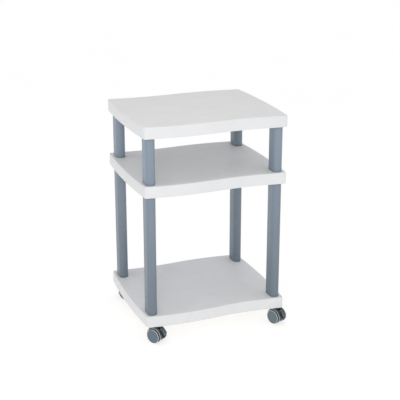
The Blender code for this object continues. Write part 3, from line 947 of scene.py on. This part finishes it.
def hood_shell(axle):
    """The drum over both wheels with a bead along each edge, on the web between them, cut at its hem."""
    inner = HOOD_RADIUS - HOOD_THICKNESS
    bead = HOOD_HALF_WIDTH - HOOD_BEAD_WIDTH
    half_section = [
        (inner, WEB_HALF_WIDTH, 0.0012),
        (inner, HOOD_HALF_WIDTH, 0.0006),
        (HOOD_RADIUS, HOOD_HALF_WIDTH, 0.0008),
        (HOOD_RADIUS, bead, FINE_EDGE),
        (HOOD_RADIUS - HOOD_BEAD, bead - HOOD_BEAD, FINE_EDGE),
    ]
    mirrored = [(radius, -height, fillet) for radius, height, fillet in reversed(half_section)]
    section = [(0, WEB_HALF_WIDTH, 0), *half_section, *mirrored, (0, -WEB_HALF_WIDTH, 0)]
    mesh = across(turned(rounded(section, 4), 128), axle)
    bm = bmesh.new()
    bm.from_mesh(mesh)
    result = bmesh.ops.bisect_plane(
        bm,
        geom=bm.verts[:] + bm.edges[:] + bm.faces[:],
        plane_co=axle - Vector((0, 0, HOOD_HEM)),
        plane_no=(0, 0, -1),
        clear_outer=True,
    )
    hem = [part for part in result["geom_cut"] if isinstance(part, bmesh.types.BMEdge)]
    bmesh.ops.contextual_create(bm, geom=hem)
    bmesh.ops.bevel(bm, geom=hem, offset=HOOD_HEM_EDGE, segments=2, profile=0.5, affect="EDGES")
    return mesh_of(bm, "hood")


def housing_mesh(caster, braked):
    """A hood with the neck over its stem, and with the lever's slot and pin if it has a brake."""
    axle = caster.axle
    beyond = 2 * HOOD_RADIUS
    tools = [
        join(upright(NECK_RADIUS, caster.height, NECK_TOP)),
        join(upright(NECK_RADIUS + NECK_STEP_WIDTH, caster.height, NECK_TOP - NECK_STEP_DROP)),
        cut(upright(STEM_RADIUS + GAP, STEM_BOTTOM - GAP, NECK_TOP + OVERLAP)),
        cut(rod(AXLE_RADIUS + GAP, 4 * WEB_HALF_WIDTH, axle)),
    ]
    if braked:
        behind, bottom = BRAKE_SLOT
        half = ARM_HALF_WIDTH + 2 * GAP
        near = (-half, -3 * beyond, caster.height + bottom)
        far = (half, axle.y - behind, 2 * beyond)
        tools.append(cut(box(near, far)))
        tools.append(cut(rod(BRAKE_PIN_RADIUS + GAP, 4 * WEB_HALF_WIDTH, caster.brake)))
    return smooth(combined(hood_shell(axle), tools), 38)


def lever_mesh(caster):
    """The brake lever: an arm that curves down behind the hood, with a rounded pad that has grip ridges."""
    arm, pad = rounded(ARM_SIDE, 5), rounded(PAD_SIDE, 5)
    tools = [join(side_view(pad, PAD_HALF_WIDTH, caster.axle, PAD_EDGE))]
    ridge_length = 2 * PAD_HALF_WIDTH - 3 * PAD_EDGE
    for share in RIDGE_SHARES:
        behind, above = Vector(PAD_TOP).lerp(Vector(PAD_TIP), share)
        centre = caster.axle + Vector((0, -behind, above))
        tools.append(join(rod(RIDGE_RADIUS, ridge_length, centre, 16)))
    tools.append(cut(rod(BRAKE_PIN_RADIUS + GAP, 4 * ARM_HALF_WIDTH, caster.brake)))
    return smooth(combined(side_view(arm, ARM_HALF_WIDTH, caster.axle, ARM_EDGE), tools), 35)


def stem_mesh(corner):
    """The stem with its groove, shoulder and collar, from the frame's own heights."""
    low, high = (point.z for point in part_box(f"caster_stem_{corner}"))
    ring_low, ring_high = (point.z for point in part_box(f"grip_ring_{corner}"))
    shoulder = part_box(f"caster_socket_{corner}")[0].z - GAP
    corners = [
        (0, high, 0),
        (STEM_RADIUS, high, 0.0016),
        (STEM_RADIUS, ring_high + GAP, 0.0002),
        (GROOVE_RADIUS, ring_high + GAP, 0.0002),
        (GROOVE_RADIUS, ring_low - GAP, 0.0002),
        (STEM_RADIUS, ring_low - GAP, 0.0002),
        (STEM_RADIUS, shoulder, FINE_EDGE),
        (COLLAR_RADIUS, shoulder, 0.0004),
        (COLLAR_RADIUS, NECK_TOP + GAP, 0.0004),
        (STEM_RADIUS, NECK_TOP + GAP, FINE_EDGE),
        (STEM_RADIUS, low, 0.0004),
        (0, low, 0),
    ]
    return smooth(turned(rounded(corners, 3)), 40)


def socket_mesh(corner):
    """A caster's flanged sleeve."""
    near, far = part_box(f"caster_socket_{corner}")
    bore = SOCKET_RADIUS - SOCKET_WALL
    flange = (far.x - near.x) / 2
    flange_top = near.z + SOCKET_FLANGE
    corners = [
        (bore, far.z, 0),
        (SOCKET_RADIUS, far.z, 0.0004),
        (SOCKET_RADIUS, flange_top, 0.0002),
        (flange, flange_top, FINE_EDGE),
        (flange, near.z, 0.0004),
        (bore, near.z, 0.0004),
    ]
    return smooth(turned(rounded(corners, 3, closed=True)), 40)


def make_casters():
    """Each caster's pieces, from meshes that all of them share."""
    casters = {corner: Caster(corner) for corner in CORNERS}
    first = casters["front_left"]
    wheel = wheel_mesh(first.height)
    stem, socket = stem_mesh("front_left"), socket_mesh("front_left")
    housings = {braked: housing_mesh(first, braked) for braked in (True, False)}
    lever = lever_mesh(first)
    for corner, caster in casters.items():
        braked = corner in BRAKED
        foot = Matrix.Translation((*FEET[corner], 0))
        stand_for(f"caster_socket_{corner}", socket, foot)
        stand_for(f"caster_stem_{corner}", stem, foot)
        stand_for(f"caster_housing_{corner}", housings[braked], caster.matrix)
        for side, name in ((-1, "left"), (1, "right")):
            inner_face = Matrix.Translation(caster.axle + Vector((side * WHEEL_INNER_FACE, 0, 0)))
            turn = Matrix.Rotation(side * math.pi / 2, 4, "Y")
            stand_for(f"{name}_wheel_{corner}", wheel, caster.matrix @ inner_face @ turn)
        if braked:
            stand_for(f"brake_lever_{corner}", lever, caster.matrix)


def finish_cad_nodes():
    """The CAD nodes that stay in view get their slot's material."""
    for node, solid in frame["nodes"].items():
        solid.data.materials.clear()
        solid.data.materials.append(MATERIALS[SLOT_OF[node]])


# Surroundings


def make_floor():
    """A wide pale floor that shows the stand's shadow."""
    bm = bmesh.new()
    bmesh.ops.create_grid(bm, x_segments=8, y_segments=8, size=FLOOR_SIZE)
    floor = bpy.data.objects.new("floor", mesh_of(bm, "floor"))
    bpy.context.scene.collection.objects.link(floor)
    material, tree, shader = new_material("studio_floor")
    tone = blend_colors(tree, noise(tree, 0.8, 3), *((grey, grey, grey) for grey in FLOOR_TONES))
    link(tree, tone, shader.inputs["Base Color"])
    shader.inputs["Roughness"].default_value = 0.7
    shader.inputs["Emission Color"].default_value = (*FLOOR_GLOW, 1)
    shader.inputs["Emission Strength"].default_value = FLOOR_GLOW_STRENGTH
    floor.data.materials.append(material)


def make_light(name, location, target, size, power, color):
    """A round lamp that faces its target."""
    light = bpy.data.lights.new(name, "AREA")
    light.shape = "DISK"
    light.size = size
    light.energy = power
    light.color = color
    lamp = bpy.data.objects.new(name, light)
    lamp.location = location
    lamp.rotation_mode = "QUATERNION"
    lamp.rotation_quaternion = (Vector(target) - Vector(location)).to_track_quat("-Z", "Y")
    bpy.context.scene.collection.objects.link(lamp)


def make_studio():
    """An evenly lit room, and a lamp above and one in front for soft shading."""
    world = bpy.data.worlds.new("studio")
    world.use_nodes = True
    background = world.node_tree.nodes["Background"]
    background.inputs["Color"].default_value = (*ROOM_COLOR, 1)
    background.inputs["Strength"].default_value = ROOM_STRENGTH
    bpy.context.scene.world = world
    for lamp in LAMPS:
        make_light(*lamp)


def make_camera():
    """A point of view to the left of the front, looking down at the stand."""
    azimuth, pitch = math.radians(CAMERA_AZIMUTH), math.radians(CAMERA_PITCH)
    camera = bpy.data.objects.new("camera", bpy.data.cameras.new("camera"))
    camera.data.lens = CAMERA_LENS
    x, y = CAMERA_FROM_MIDDLE
    camera.location = (MIDDLE.x + x, MIDDLE.y + y, CAMERA_HEIGHT)
    forward = Vector(
        (math.sin(azimuth) * math.cos(pitch), math.cos(azimuth) * math.cos(pitch), -math.sin(pitch))
    )
    camera.rotation_mode = "QUATERNION"
    camera.rotation_quaternion = forward.to_track_quat("-Z", "Y")
    bpy.context.scene.collection.objects.link(camera)
    bpy.context.scene.camera = camera
    bpy.context.scene.view_settings.view_transform = "Standard"


make_shelves()
make_posts()
make_casters()
finish_cad_nodes()
make_floor()
make_studio()
make_camera()
